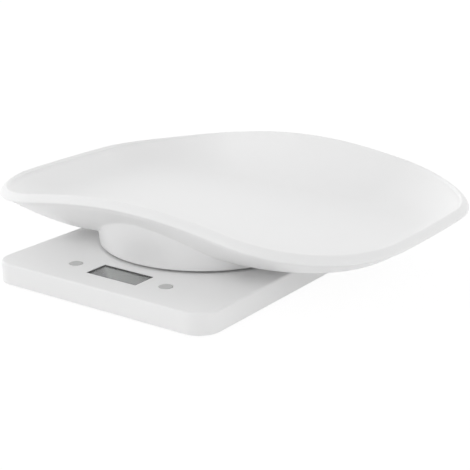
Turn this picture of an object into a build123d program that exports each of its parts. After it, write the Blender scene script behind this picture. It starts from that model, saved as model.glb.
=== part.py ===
from build123d import *
from math import cos, hypot, radians, sqrt, tan
import os

os.makedirs("parts", exist_ok=True)

# A digital kitchen scale: a flat casing with a display and two keys, and a saddle-shaped tray on a round pedestal.
# Millimetres. The origin is on the table under the middle of the scale, +X to the right, +Y away from the user.

# Driving dimensions of the casing
casing_width = 150.0
casing_depth = 180.0
casing_height = 12.0
casing_wall = 2.0
casing_corner = 13.0
casing_edge = 1.2
cover_gap = 0.2
plate_thickness = 2.0
foot_radius = 6.0
foot_proud = 1.2
foot_seat = 0.9
foot_inset = 13.0
foot_gap = 0.2
stiffener_height = 3.0
stiffener_wall = 1.2
stiffener_x = 36.0

# Hub of the casing and pedestal of the tray
hub_setback = 101.0
pedestal_radius = 62.4
pedestal_wall = 2.0
pedestal_draft = 4.0
pedestal_gap = 1.4
hub_gap = 2.5
hub_height = 3.5
hub_wall = 1.8

# Tray
tray_length = 274.5
tray_width = 203.4
tray_lead = 25.7
end_bow = 5.8
side_bow = 2.1
tray_corner = 64.5
rim_height = 51.3
rim_drop = 14.2
rim_flare = 16.8
lip_width = 4.0
lip_height = 4.6
lip_step = 2.9
lip_hang = 1.5
lip_round = 3.4
lip_edge_round = 0.7
tray_wall = 2.4
bowl_reach = 3.3
bowl_base = 0.3
bowl_fall = 16.4
bowl_power = 2.3
dish_power = 2.7
floor_blend = 2.0

# Platform between the load cell and the tray
platform_radius = 50.0
platform_thickness = 1.9
platform_gap = 0.8
platform_travel = 0.5
stop_gap = 0.6
pad_height = 0.8
ring_wall = 1.6
ring_depth = 1.4
ring_gap = 0.3
rib_wall = 1.6
rib_count = 8
rib_start = 22.0

# Load cell
cell_length = 60.0
cell_width = 12.0
cell_height = 8.0
cell_seat = 3.4
spacer_thickness = 0.8
cell_hole_out = 25.0
cell_hole_in = 15.0
cell_eye_radius = 3.1
cell_eye_spacing = 13.0
cell_slot = 2.4
cell_edge = 0.8
gauge_length = 5.6
gauge_width = 5.0
gauge_thickness = 0.2
m4_radius = 2.0
m4_head_radius = 3.5
m4_head_height = 2.2
m4_length = 9.0
thread_gap = 0.05
head_gap = 0.3
boss_margin = 2.0
boss_gap = 1.2

# Display
display_setback = 23.3
display_width = 35.2
display_depth = 16.1
display_skin = 0.9
collar_gap = 0.15
collar_wall = 0.6
collar_sink = 0.3
lcd_width = 42.0
lcd_depth = 22.0
glass_thickness = 1.1
lcd_ledge = 3.0
lcd_gap = 0.15
holder_wall = 2.0
holder_ledge = 0.3
ledge_width = 0.7
window_thickness = 0.5
window_gap = 0.1
strip_width = 2.0
strip_inset = 1.0

# Circuit board
board_width = 94.0
board_depth = 28.0
board_thickness = 1.2
board_clearance = 1.5
board_corner = 2.0
board_screw_x = 42.5
board_screw_y = 9.0
chip_length = 10.0
chip_width = 6.0
chip_height = 1.5
chip_legs = 8
chip_leg_pitch = 1.1
chip_leg_width = 0.4
capacitor_radius = 1.75
capacitor_height = 3.8

# Keys and their switches
key_radius = 3.7
key_spacing = 64.2
key_proud = 0.2
key_gap = 0.3
key_travel = 0.5
key_flange = 1.4
key_flange_thickness = 1.0
key_lift = 0.1
key_round = 0.3
guide_wall = 1.2
guide_depth = 3.0
switch_size = 6.0
switch_height = 3.1
plunger_radius = 1.7
plunger_gap = 0.08
plunger_proud = 0.6
plunger_depth = 1.1

# Fasteners of the casing and of the board
screw_radius = 1.1
screw_head_radius = 2.3
screw_head_height = 1.1
screw_boss_radius = 3.2
screw_length = 7.0
screw_inset = 9.0
screw_row = 32.0
board_screw_radius = 0.9
board_head_radius = 1.8
board_head_height = 1.2
board_boss_radius = 2.4
board_screw_length = 3.6
drive_depth = 0.8
drive_width = 0.6

# Battery box, two AAA cells side by side
battery_radius = 5.25
battery_length = 43.5
battery_nub_radius = 1.9
battery_nub = 1.0
battery_gap = 0.25
battery_setback = 9.6
tag_reach = 1.5
tag_width = 2.0
tag_gap = 0.3
contact_thickness = 0.4
contact_height = 9.0
contact_dimple = 0.6
leaf_reach = 4.2
leaf_width = 5.0
leaf_span = 7.6
box_wall = 1.2
box_roof = 0.7
door_thickness = 1.4
door_gap = 0.3
door_ledge = 1.8
door_frame = 1.6
ledge_thickness = 1.2
tab_width = 6.0
tab_spacing = 30.0
tab_reach = 1.4
tab_thickness = 0.8
tab_neck = 1.2
latch_width = 9.0
latch_catch = 0.2
latch_height = 1.8
latch_nib = 0.8
latch_wall = 0.9
grip_count = 5
grip_pitch = 1.8
grip_depth = 0.35

# Wires
wire_radius = 0.45
wire_pitch = 1.7
wire_bend = 12.0
wire_share = 0.45
connector_x = 29.0
connector_length = 9.0
connector_depth = 5.0
connector_height = 4.4

# Levels
casing_bottom = foot_proud
casing_top = casing_bottom + casing_height
ceiling = casing_top - casing_wall
plate_top = casing_bottom + plate_thickness
hub_top = casing_top + hub_height
hub_ceiling = hub_top - hub_wall
platform_bottom = hub_top + platform_gap
platform_top = platform_bottom + platform_thickness
tray_floor = platform_top + pad_height
pedestal_bottom = casing_top + pedestal_gap
cell_seat_top = casing_bottom + cell_seat
cell_bottom = cell_seat_top + spacer_thickness
cell_top = cell_bottom + cell_height
board_bottom = plate_top + board_clearance
board_top = board_bottom + board_thickness
holder_top = casing_top - display_skin
lcd_top = holder_top - holder_ledge
lcd_step = lcd_top - glass_thickness
lcd_bottom = lcd_step - glass_thickness
door_top = casing_bottom + door_thickness
battery_floor = door_top + battery_gap
box_ceiling = battery_floor + 2 * battery_radius + battery_gap
battery_axis_z = battery_floor + battery_radius

# Places seen from above
front_y = -(tray_lead + tray_width) / 2
casing_y = front_y + casing_depth / 2
hub_y = front_y + hub_setback
tray_y = front_y + tray_lead + tray_width / 2
display_y = front_y + display_setback
hub_radius = pedestal_radius - pedestal_wall - hub_gap
key_places = [(-key_spacing / 2, 0), (key_spacing / 2, 0)]


def casing_plane(height):
    return Plane((0, casing_y, height))


def hub_plane(height):
    return Plane((0, hub_y, height))


def display_plane(height):
    return Plane((0, display_y, height))


def tray_plane(height):
    return Plane((0, tray_y, height))


def save(built, label):
    built.part.label = label
    export_step(built.part, f"parts/{label}.step")


# Top cover: the visible shell, with the raised hub that the pedestal goes over
screw_places = [
    (side * (casing_width / 2 - screw_inset), end * (casing_depth / 2 - screw_row))
    for side in (-1, 1)
    for end in (-1, 1)
]
board_screw_places = [(x * board_screw_x, y * board_screw_y) for x in (-1, 1) for y in (-1, 1)]
cell_free_holes = [(cell_hole_in, 0), (cell_hole_out, 0)]
cell_fixed_holes = [(-cell_hole_in, 0), (-cell_hole_out, 0)]
free_boss_x = (cell_hole_in + cell_hole_out) / 2
free_boss_length = cell_hole_out - cell_hole_in + 2 * (m4_head_radius + boss_margin)
free_boss_width = 2 * (m4_head_radius + boss_margin)
holder_width = lcd_width + 2 * (lcd_gap + holder_wall)
holder_depth = lcd_depth + 2 * (lcd_gap + holder_wall)
guide_inner = key_radius + key_flange + key_gap

with BuildPart() as base_top_cover:
    with BuildSketch(casing_plane(casing_bottom)):
        RectangleRounded(casing_width, casing_depth, casing_corner)
    extrude(amount=casing_height)
    fillet(base_top_cover.faces().sort_by(Axis.Z)[-1].edges(), radius=casing_edge)
    with BuildSketch(hub_plane(casing_top)):
        Circle(hub_radius)
    extrude(amount=hub_height)
    fillet(base_top_cover.faces().sort_by(Axis.Z)[-1].edges(), radius=hub_wall / 2)
    with BuildSketch(casing_plane(casing_bottom)):
        RectangleRounded(
            casing_width - 2 * casing_wall, casing_depth - 2 * casing_wall, casing_corner - casing_wall
        )
    extrude(amount=casing_height - casing_wall, mode=Mode.SUBTRACT)
    with BuildSketch(hub_plane(casing_bottom)):
        Circle(hub_radius - casing_wall)
    extrude(amount=hub_ceiling - casing_bottom, mode=Mode.SUBTRACT)
    # Posts for the casing screws stand on the bottom cover
    with BuildSketch(casing_plane(plate_top)):
        with Locations(*screw_places):
            Circle(screw_boss_radius)
    extrude(amount=ceiling - plate_top)
    with BuildSketch(casing_plane(plate_top)):
        with Locations(*screw_places):
            Circle(screw_radius + thread_gap)
    extrude(amount=screw_length, mode=Mode.SUBTRACT)
    # Posts for the circuit board
    with BuildSketch(display_plane(board_top)):
        with Locations(*board_screw_places):
            Circle(board_boss_radius)
    extrude(amount=ceiling - board_top)
    with BuildSketch(display_plane(board_top)):
        with Locations(*board_screw_places):
            Circle(board_screw_radius + thread_gap)
    extrude(amount=board_screw_length, mode=Mode.SUBTRACT)
    # Guide tubes under the two keys
    with BuildSketch(display_plane(ceiling - guide_depth)):
        with Locations(*key_places):
            Circle(guide_inner + guide_wall)
            Circle(guide_inner, mode=Mode.SUBTRACT)
    extrude(amount=guide_depth)
    with BuildSketch(display_plane(ceiling)):
        with Locations(*key_places):
            Circle(key_radius + key_gap)
    extrude(amount=casing_wall, mode=Mode.SUBTRACT)
    # Display opening, with the thinner seat of the display holder under it
    with BuildSketch(display_plane(ceiling)):
        Rectangle(holder_width + 2 * collar_gap, holder_depth + 2 * collar_gap)
    extrude(amount=holder_top - ceiling, mode=Mode.SUBTRACT)
    with BuildSketch(display_plane(holder_top)):
        Rectangle(display_width, display_depth)
    extrude(amount=display_skin, mode=Mode.SUBTRACT)
    # Slot in the hub for the boss of the platform
    with BuildSketch(hub_plane(hub_ceiling)):
        with Locations((free_boss_x, 0)):
            Rectangle(free_boss_length + 2 * boss_gap, free_boss_width + 2 * boss_gap)
    extrude(amount=hub_wall, mode=Mode.SUBTRACT)
save(base_top_cover, "base_top_cover")

# Battery box, measured from the middle of the hub
box_length = battery_length + battery_nub + leaf_reach + contact_dimple + 2 * contact_thickness
box_depth = 4 * battery_radius + 3 * battery_gap
box_y = battery_setback + box_wall + box_depth / 2
row_offset = battery_radius + battery_gap / 2
front_row = box_y - row_offset
back_row = box_y + row_offset
door_length = box_length + 2 * door_ledge
door_depth = box_depth + 2 * door_ledge
door_edge = box_y - door_depth / 2
frame_top = door_top + door_gap / 2 + ledge_thickness
tab_base = plate_top + door_gap / 2
tab_swing = door_gap + sqrt((tab_base + tab_thickness - casing_bottom) ** 2 + tab_reach**2)
latch_y = box_y + door_depth / 2
tab_places = [(-tab_spacing / 2, door_edge), (tab_spacing / 2, door_edge)]
foot_places = [
    (side * (casing_width / 2 - foot_inset), end * (casing_depth / 2 - foot_inset))
    for side in (-1, 1)
    for end in (-1, 1)
]

# Bottom cover: the plate that closes the casing and carries the load cell and the batteries
seat_length = cell_hole_out - cell_hole_in + 2 * (m4_head_radius + boss_margin)
cover_width = casing_width - 2 * (casing_wall + cover_gap)
cover_depth = casing_depth - 2 * (casing_wall + cover_gap)

with BuildPart() as base_bottom_cover:
    with BuildSketch(casing_plane(casing_bottom)):
        RectangleRounded(cover_width, cover_depth, casing_corner - casing_wall - cover_gap)
    extrude(amount=plate_thickness)
    # Stiffening ribs on each side of the load cell and the battery box
    with BuildSketch(hub_plane(plate_top)):
        with Locations((-stiffener_x, 0), (stiffener_x, 0)):
            Rectangle(stiffener_wall, 2 * (hub_radius - casing_wall) * cos(radians(45)))
    extrude(amount=stiffener_height)
    # Seat of the fixed end of the load cell, and the stop under its free end
    with BuildSketch(hub_plane(plate_top)):
        with Locations((-free_boss_x, 0)):
            Rectangle(seat_length, cell_width)
    extrude(amount=cell_seat_top - plate_top)
    with BuildSketch(hub_plane(plate_top)):
        with Locations((cell_hole_out, 0)):
            Circle(m4_head_radius)
    extrude(amount=cell_bottom - stop_gap - plate_top)
    with BuildSketch(hub_plane(casing_bottom)):
        with Locations(*cell_fixed_holes):
            Circle(m4_head_radius + head_gap)
    extrude(amount=m4_head_height + head_gap, mode=Mode.SUBTRACT)
    with BuildSketch(hub_plane(casing_bottom)):
        with Locations(*cell_fixed_holes):
            Circle(m4_radius + head_gap)
    extrude(amount=cell_seat, mode=Mode.SUBTRACT)
    # Frame of the battery door, and the walls and roof over the batteries
    with BuildSketch(hub_plane(plate_top)):
        with Locations((0, box_y)):
            Rectangle(door_length + 2 * door_frame, door_depth + 2 * door_frame)
    extrude(amount=frame_top - plate_top)
    with BuildSketch(hub_plane(plate_top)):
        with Locations((0, box_y)):
            Rectangle(box_length + 2 * box_wall, box_depth + 2 * box_wall)
    extrude(amount=box_ceiling + box_roof - plate_top)
    with BuildSketch(hub_plane(casing_bottom)):
        with Locations((0, box_y)):
            Rectangle(box_length, box_depth)
    extrude(amount=box_ceiling - casing_bottom, mode=Mode.SUBTRACT)
    with BuildSketch(hub_plane(casing_bottom)):
        with Locations((0, box_y)):
            Rectangle(door_length + 2 * door_gap, door_depth + 2 * door_gap)
    extrude(amount=door_thickness + door_gap / 2, mode=Mode.SUBTRACT)
    # Slots for the hooks of the door and for its latch
    with BuildSketch(hub_plane(plate_top)):
        with Locations(*tab_places):
            Rectangle(tab_width + 2 * door_gap, 2 * tab_swing)
    extrude(amount=casing_bottom + tab_swing - plate_top, mode=Mode.SUBTRACT)
    with BuildSketch(hub_plane(door_top)):
        with Locations(*tab_places):
            with Locations((0, (tab_swing - door_gap) / 2)):
                Rectangle(tab_width + 2 * door_gap, tab_swing + door_gap)
    extrude(amount=plate_top - door_top, mode=Mode.SUBTRACT)
    with BuildSketch(hub_plane(door_top)):
        with Locations((0, latch_y)):
            Rectangle(latch_width + 2 * door_gap, 2 * (door_ledge + door_gap))
    extrude(amount=latch_height + 2 * door_gap, mode=Mode.SUBTRACT)
    with BuildSketch(hub_plane(battery_axis_z - contact_thickness / 2 - tag_gap)):
        with Locations(*[((box_length + box_wall) / 2, row) for row in (front_row, back_row)]):
            Rectangle(2 * box_wall, tag_width + 2 * tag_gap)
    extrude(amount=contact_thickness + 2 * tag_gap, mode=Mode.SUBTRACT)
    # Seats of the feet and of the casing screws
    with BuildSketch(casing_plane(casing_bottom)):
        with Locations(*foot_places):
            Circle(foot_radius + foot_gap)
    extrude(amount=foot_seat, mode=Mode.SUBTRACT)
    with BuildSketch(casing_plane(casing_bottom)):
        with Locations(*screw_places):
            Circle(screw_head_radius + head_gap)
    extrude(amount=screw_head_height + cover_gap / 2, mode=Mode.SUBTRACT)
    with BuildSketch(casing_plane(casing_bottom)):
        with Locations(*screw_places):
            Circle(screw_radius + thread_gap)
    extrude(amount=plate_thickness, mode=Mode.SUBTRACT)
save(base_bottom_cover, "base_bottom_cover")

# Feet: four rubber discs in the corners of the bottom cover
with BuildPart() as rubber_feet:
    with BuildSketch(casing_plane(0)):
        with Locations(*foot_places):
            Circle(foot_radius)
    extrude(amount=foot_proud + foot_seat)
    chamfer(rubber_feet.edges().group_by(Axis.Z)[0], length=foot_proud / 4)
save(rubber_feet, "rubber_feet")


def screw_set(plane, places, head_radius, head_height, shank_radius, length):
    # Pan-head screws whose heads stand on the plane and whose shanks go down through it.
    # The shanks are drawn at the core of the thread, which is the size of the hole they cut.
    with BuildPart() as row:
        with BuildSketch(plane):
            with Locations(*places):
                Circle(head_radius)
        extrude(amount=head_height)
        crowns = row.faces().group_by(Axis(plane.origin, plane.z_dir))[-1]
        fillet(crowns.edges(), radius=head_height / 3)
        with BuildSketch(plane):
            with Locations(*places):
                Circle(shank_radius)
        extrude(amount=-length)
        with BuildSketch(plane.offset(head_height)):
            with Locations(*places):
                Rectangle(head_radius, drive_width)
                Rectangle(drive_width, head_radius)
        extrude(amount=-drive_depth, mode=Mode.SUBTRACT)
    return row


def facing_down(plane):
    return Plane(plane.origin, x_dir=(1, 0, 0), z_dir=(0, 0, -1))


casing_screws = screw_set(
    facing_down(casing_plane(casing_bottom + screw_head_height)),
    screw_places, screw_head_radius, screw_head_height, screw_radius, screw_length,
)
save(casing_screws, "casing_screws")

# Tray: a thin bowl that hangs from an arched rim, high along the sides and low at the ends
tray_a = tray_length / 2
tray_b = tray_width / 2
corner_x = tray_a - end_bow
corner_y = tray_b - side_bow
end_radius = (corner_y**2 + end_bow**2) / (2 * end_bow)
side_radius = (corner_x**2 + side_bow**2) / (2 * side_bow)
surface_rows = 33
surface_columns = 45
surface_margin = 1.02
surface_tolerance = 0.02
spread_steps = 24
arch_points = 17


def rim_level(x):
    reach = x / tray_a
    return casing_bottom + rim_height - (rim_drop + rim_flare) * reach**2 + rim_flare * reach**4


def beyond_edge(x, y):
    # How far a point lies outside the outline, which has bowed sides and round corners
    past_end = hypot(abs(x) - tray_a + end_radius, y) - end_radius + tray_corner
    past_side = hypot(x, abs(y) - tray_b + side_radius) - side_radius + tray_corner
    rounded = hypot(max(past_end, 0), max(past_side, 0))
    return rounded + min(max(past_end, past_side), 0) - tray_corner


def spread(x, y, inset):
    # 0 in the middle of the tray and 1 on the inset outline, found by halving
    low, high = 0.0, 2.0
    for _ in range(spread_steps):
        middle = (low + high) / 2
        if beyond_edge(x / middle, y / middle) < -inset:
            high = middle
        else:
            low = middle
    return high


def bowl_level(x, y, inset, base, drop, power):
    # A bowl that reaches the rim less the drop at the inset outline
    bottom = base - bowl_fall * (x / tray_a) ** 2
    return bottom + (rim_level(x) - drop - bottom) * spread(x, y, inset) ** power


def raised(level, floor):
    # The higher of the two levels, with a soft change between them
    return (level + floor + sqrt((level - floor) ** 2 + floor_blend**2)) / 2


def underside(x, y):
    return raised(bowl_level(x, y, 0, casing_bottom + bowl_base, bowl_reach, bowl_power), tray_floor)


def dish(x, y):
    base = casing_bottom + bowl_base + tray_wall
    return raised(bowl_level(x, y, lip_width, base, lip_step, dish_power), tray_floor + tray_wall)


def spread_evenly(half, count):
    return [half * surface_margin * (2 * i / (count - 1) - 1) for i in range(count)]


def curved_face(level):
    points = [
        [Vector(x, tray_y + y, level(x, y)) for x in spread_evenly(tray_a, surface_columns)]
        for y in spread_evenly(tray_b, surface_rows)
    ]
    return Face.make_surface_from_array_of_points(points, tol=surface_tolerance)


def tray_outline(inset):
    # Where four large discs meet, with round corners, drawn in from the tray's edge
    with BuildSketch() as outline:
        Rectangle(2 * tray_length, 2 * tray_width)
        for angle in (0, 90, 180, 270):
            reach, radius = (tray_a, end_radius) if angle % 180 == 0 else (tray_b, side_radius)
            with PolarLocations(radius - reach, 1, start_angle=angle):
                Circle(radius - inset, mode=Mode.INTERSECT)
        fillet(outline.vertices(), radius=tray_corner - inset)
    return outline.sketch


def arch(lower, upper):
    # The region between two copies of the arch, seen from the front and drawn behind the tray
    steps = spread_evenly(tray_a, arch_points)
    with BuildSketch(Plane.XZ.offset(-tray_width)) as band:
        with BuildLine():
            low = Spline(*[(x, rim_level(x) - lower) for x in steps])
            high = Spline(*[(x, rim_level(x) - upper) for x in steps])
            Line(low @ 0, high @ 0)
            Line(low @ 1, high @ 1)
        make_face()
    return band.sketch


tray_bottom = tray_floor - tray_wall
tray_reach = rim_height + lip_height

with BuildPart() as dish_space:
    with BuildSketch(tray_plane(tray_bottom)):
        add(tray_outline(lip_width))
    extrude(amount=2 * tray_reach)
    extrude(curved_face(dish), amount=2 * tray_reach, dir=(0, 0, 1), mode=Mode.INTERSECT)

with BuildPart() as space_under_bowl:
    with BuildSketch(tray_plane(0)):
        add(tray_outline(lip_hang))
    extrude(amount=tray_reach)
    extrude(curved_face(underside), amount=tray_reach, dir=(0, 0, -1), mode=Mode.INTERSECT)

with BuildPart() as space_under_lip:
    with BuildSketch(tray_plane(0)):
        add(tray_outline(-lip_hang))
        add(tray_outline(lip_hang), mode=Mode.SUBTRACT)
    extrude(amount=tray_reach)
    extrude(arch(tray_reach, lip_height), amount=2 * tray_width, mode=Mode.INTERSECT)

with BuildPart() as tray:
    with BuildSketch(tray_plane(tray_bottom)):
        add(tray_outline(0))
    extrude(amount=tray_reach)
    extrude(arch(tray_reach, 0), amount=2 * tray_width, mode=Mode.INTERSECT)
    add(space_under_lip.part, mode=Mode.SUBTRACT)
    rim_top = tray.faces().filter_by(GeomType.EXTRUSION).sort_by(Axis.Z)[-1]
    fillet(rim_top.edges(), radius=lip_round)
    lip_bottom = tray.faces().filter_by(GeomType.EXTRUSION).filter_by(lambda face: face.inner_wires())[0]
    fillet(lip_bottom.outer_wire().edges(), radius=lip_edge_round)
    add(space_under_bowl.part, mode=Mode.SUBTRACT)
    # Wall of the pedestal, which widens upwards
    flare = rim_height * tan(radians(pedestal_draft))
    with BuildSketch(Plane.XZ.offset(-hub_y)):
        with BuildLine():
            Polyline(
                (pedestal_radius, pedestal_bottom),
                (pedestal_radius + flare, pedestal_bottom + rim_height),
                (pedestal_radius + flare - pedestal_wall, pedestal_bottom + rim_height),
                (pedestal_radius - pedestal_wall, pedestal_bottom),
                close=True,
            )
        make_face()
    revolve(axis=Axis((0, hub_y, 0), (0, 0, 1)))
    # Ring that locates the tray on the platform, and the ribs that rest on it
    with BuildSketch(hub_plane(platform_top - ring_depth)):
        Circle(platform_radius + ring_gap + ring_wall)
        Circle(platform_radius + ring_gap, mode=Mode.SUBTRACT)
    extrude(amount=rim_height)
    with BuildSketch(hub_plane(platform_top)):
        with PolarLocations((rib_start + platform_radius) / 2, rib_count):
            Rectangle(platform_radius - rib_start + 2 * ring_gap, rib_wall)
    extrude(amount=tray_wall)
    add(dish_space.part, mode=Mode.SUBTRACT)
save(tray, "tray")

# Platform: the disc on the load cell that carries the tray
with BuildPart() as platform:
    with BuildSketch(hub_plane(platform_bottom)):
        Circle(platform_radius)
    extrude(amount=platform_thickness)
    fillet(platform.faces().sort_by(Axis.Z)[-1].edges(), radius=platform_thickness / 4)
    with BuildSketch(hub_plane(cell_top)):
        with Locations((free_boss_x, 0)):
            RectangleRounded(free_boss_length, free_boss_width, m4_radius)
    extrude(amount=platform_bottom - cell_top)
    with BuildSketch(hub_plane(platform_top - m4_head_height - head_gap)):
        with Locations(*cell_free_holes):
            Circle(m4_head_radius + head_gap)
    extrude(amount=m4_head_height + head_gap, mode=Mode.SUBTRACT)
    with BuildSketch(hub_plane(cell_top)):
        with Locations(*cell_free_holes):
            Circle(m4_radius + head_gap)
    extrude(amount=platform_top - cell_top, mode=Mode.SUBTRACT)
save(platform, "platform")

platform_screws = screw_set(
    hub_plane(platform_top - m4_head_height - head_gap),
    cell_free_holes, m4_head_radius, m4_head_height, m4_radius, m4_length,
)
save(platform_screws, "platform_screws")

# Load cell: an aluminium bar, weakened in the middle so that it bends under the load
with BuildPart() as load_cell:
    with BuildSketch(hub_plane(cell_bottom)):
        RectangleRounded(cell_length, cell_width, cell_edge)
    extrude(amount=cell_height)
    with BuildSketch(Plane.XZ.offset(-hub_y)):
        with Locations((0, cell_bottom + cell_height / 2)):
            with Locations((-cell_eye_spacing / 2, 0), (cell_eye_spacing / 2, 0)):
                Circle(cell_eye_radius)
            Rectangle(cell_eye_spacing, cell_slot)
    extrude(amount=cell_width, both=True, mode=Mode.SUBTRACT)
    with BuildSketch(hub_plane(cell_bottom)):
        with Locations(*cell_free_holes, *cell_fixed_holes):
            Circle(m4_radius + thread_gap)
    extrude(amount=cell_height, mode=Mode.SUBTRACT)
save(load_cell, "load_cell")

with BuildPart() as load_cell_spacer:
    with BuildSketch(hub_plane(cell_seat_top)):
        with Locations((-free_boss_x, 0)):
            Rectangle(seat_length, cell_width)
        with Locations(*cell_fixed_holes):
            Circle(m4_radius + head_gap, mode=Mode.SUBTRACT)
    extrude(amount=spacer_thickness)
save(load_cell_spacer, "load_cell_spacer")

load_cell_screws = screw_set(
    facing_down(hub_plane(casing_bottom + m4_head_height + head_gap)),
    cell_fixed_holes, m4_head_radius, m4_head_height, m4_radius, m4_length,
)
save(load_cell_screws, "load_cell_screws")

# Strain gauges over and under the thin places of the load cell
with BuildPart() as strain_gauges:
    for level in (cell_top, cell_bottom - gauge_thickness):
        with BuildSketch(hub_plane(level)):
            with Locations((-cell_eye_spacing / 2, 0), (cell_eye_spacing / 2, 0)):
                RectangleRounded(gauge_length, gauge_width, gauge_width / 5)
        extrude(amount=gauge_thickness)
save(strain_gauges, "strain_gauges")

# Circuit board under the display and the keys
with BuildPart() as main_board:
    with BuildSketch(display_plane(board_bottom)):
        RectangleRounded(board_width, board_depth, board_corner)
        with Locations(*board_screw_places):
            Circle(board_screw_radius + thread_gap, mode=Mode.SUBTRACT)
    extrude(amount=board_thickness)
save(main_board, "main_board")

board_screws = screw_set(
    facing_down(display_plane(board_bottom)),
    board_screw_places, board_head_radius, board_head_height, board_screw_radius, board_screw_length,
)
save(board_screws, "board_screws")

with BuildPart() as controller_chip:
    with BuildSketch(display_plane(board_bottom)):
        Rectangle(chip_length, chip_width)
    extrude(amount=-chip_height)
    chamfer(controller_chip.faces().sort_by(Axis.Z)[0].edges(), length=chip_height / 4)
    # Legs along the two long sides
    with BuildSketch(display_plane(board_bottom)):
        with GridLocations(chip_leg_pitch, chip_width + chip_leg_width, chip_legs, 2):
            Rectangle(chip_leg_width, chip_leg_width)
    extrude(amount=-chip_height / 2)
save(controller_chip, "controller_chip")

capacitor_x = key_spacing / 2 - switch_size / 2 - 2 * capacitor_radius
with BuildPart() as capacitor:
    with BuildSketch(display_plane(board_top)):
        with Locations((-capacitor_x, -board_screw_y)):
            Circle(capacitor_radius)
    extrude(amount=capacitor_height)
    fillet(capacitor.faces().sort_by(Axis.Z)[-1].edges(), radius=capacitor_radius / 5)
save(capacitor, "capacitor")

# Display: holder, glass, rubber contact strip and clear window
collar_width = display_width - 2 * collar_gap
collar_depth = display_depth - 2 * collar_gap
window_width = collar_width - 2 * collar_wall
window_depth = collar_depth - 2 * collar_wall

with BuildPart() as lcd_holder:
    with BuildSketch(display_plane(board_top)):
        Rectangle(holder_width, holder_depth)
    extrude(amount=holder_top - board_top)
    with BuildSketch(display_plane(holder_top)):
        Rectangle(collar_width, collar_depth)
    extrude(amount=display_skin - collar_sink)
    with BuildSketch(display_plane(board_top)):
        Rectangle(lcd_width + 2 * lcd_gap, lcd_depth + 2 * lcd_gap)
    extrude(amount=lcd_top - board_top, mode=Mode.SUBTRACT)
    with BuildSketch(display_plane(lcd_top)):
        Rectangle(window_width - 2 * ledge_width, window_depth - 2 * ledge_width)
    extrude(amount=holder_ledge, mode=Mode.SUBTRACT)
    with BuildSketch(display_plane(holder_top)):
        Rectangle(window_width, window_depth)
    extrude(amount=display_skin, mode=Mode.SUBTRACT)
save(lcd_holder, "lcd_holder")

with BuildPart() as display_window:
    with BuildSketch(display_plane(holder_top)):
        Rectangle(window_width - 2 * window_gap, window_depth - 2 * window_gap)
    extrude(amount=window_thickness)
save(display_window, "display_window")

# The front glass is deeper than the rear one, and its bare edge takes the contact strip
with BuildPart() as lcd_panel:
    with BuildSketch(display_plane(lcd_step)):
        Rectangle(lcd_width, lcd_depth)
    extrude(amount=glass_thickness)
    with BuildSketch(display_plane(lcd_bottom)):
        with Locations((0, -lcd_ledge / 2)):
            Rectangle(lcd_width, lcd_depth - lcd_ledge)
    extrude(amount=glass_thickness)
save(lcd_panel, "lcd_panel")

with BuildPart() as contact_strip:
    with BuildSketch(display_plane(board_top)):
        with Locations((0, (lcd_depth - lcd_ledge) / 2)):
            Rectangle(lcd_width - 2 * strip_inset, strip_width)
    extrude(amount=lcd_step - board_top)
save(contact_strip, "contact_strip")

# Keys: round caps with a flange under the cover, each pressing the plunger of a switch
flange_top = ceiling - key_lift
switch_top = board_top + switch_height
plunger_top = switch_top + plunger_proud


def make_key(place):
    with BuildPart() as key:
        with BuildSketch(display_plane(flange_top - key_flange_thickness)):
            with Locations(place):
                Circle(key_radius + key_flange)
        extrude(amount=key_flange_thickness)
        with BuildSketch(display_plane(flange_top)):
            with Locations(place):
                Circle(key_radius)
        extrude(amount=casing_top + key_proud - flange_top)
        fillet(key.faces().sort_by(Axis.Z)[-1].edges(), radius=key_round)
        with BuildSketch(display_plane(plunger_top)):
            with Locations(place):
                Circle(plunger_radius)
        extrude(amount=flange_top - key_flange_thickness - plunger_top)
    return key


def make_plunger(place):
    with BuildPart() as plunger:
        with BuildSketch(display_plane(switch_top - plunger_depth)):
            with Locations(place):
                Circle(plunger_radius)
        extrude(amount=plunger_depth + plunger_proud)
    return plunger


for key_name, key_place in zip(("unit", "power"), key_places):
    save(make_key(key_place), key_name + "_button")
    save(make_plunger(key_place), key_name + "_switch_plunger")

with BuildPart() as tact_switches:
    with BuildSketch(display_plane(board_top)):
        with Locations(*key_places):
            RectangleRounded(switch_size, switch_size, switch_size / 12)
    extrude(amount=switch_height)
    with BuildSketch(display_plane(switch_top - plunger_depth - key_travel - plunger_gap)):
        with Locations(*key_places):
            Circle(plunger_radius + plunger_gap)
    extrude(amount=switch_height, mode=Mode.SUBTRACT)
save(tact_switches, "tact_switches")

# Batteries: two cells, head to tail, with a leaf contact for each flat end
contact_x = box_length / 2 - contact_thickness
nub_x = contact_x - contact_dimple
solder_x = box_length / 2 + box_wall + tag_reach


def end_plane(x, y, direction):
    # A plane across the batteries, facing along +X or -X
    return Plane((x, hub_y + y, battery_axis_z), x_dir=(0, 1, 0), z_dir=(direction, 0, 0))


with BuildPart() as batteries:
    for row, direction in ((front_row, -1), (back_row, 1)):
        nub_base = direction * (nub_x - battery_nub)
        with BuildSketch(end_plane(nub_base, row, -direction)):
            Circle(battery_radius)
        extrude(amount=battery_length)
        with BuildSketch(end_plane(nub_base, row, direction)):
            Circle(battery_nub_radius)
        extrude(amount=battery_nub)
save(batteries, "batteries")


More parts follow.
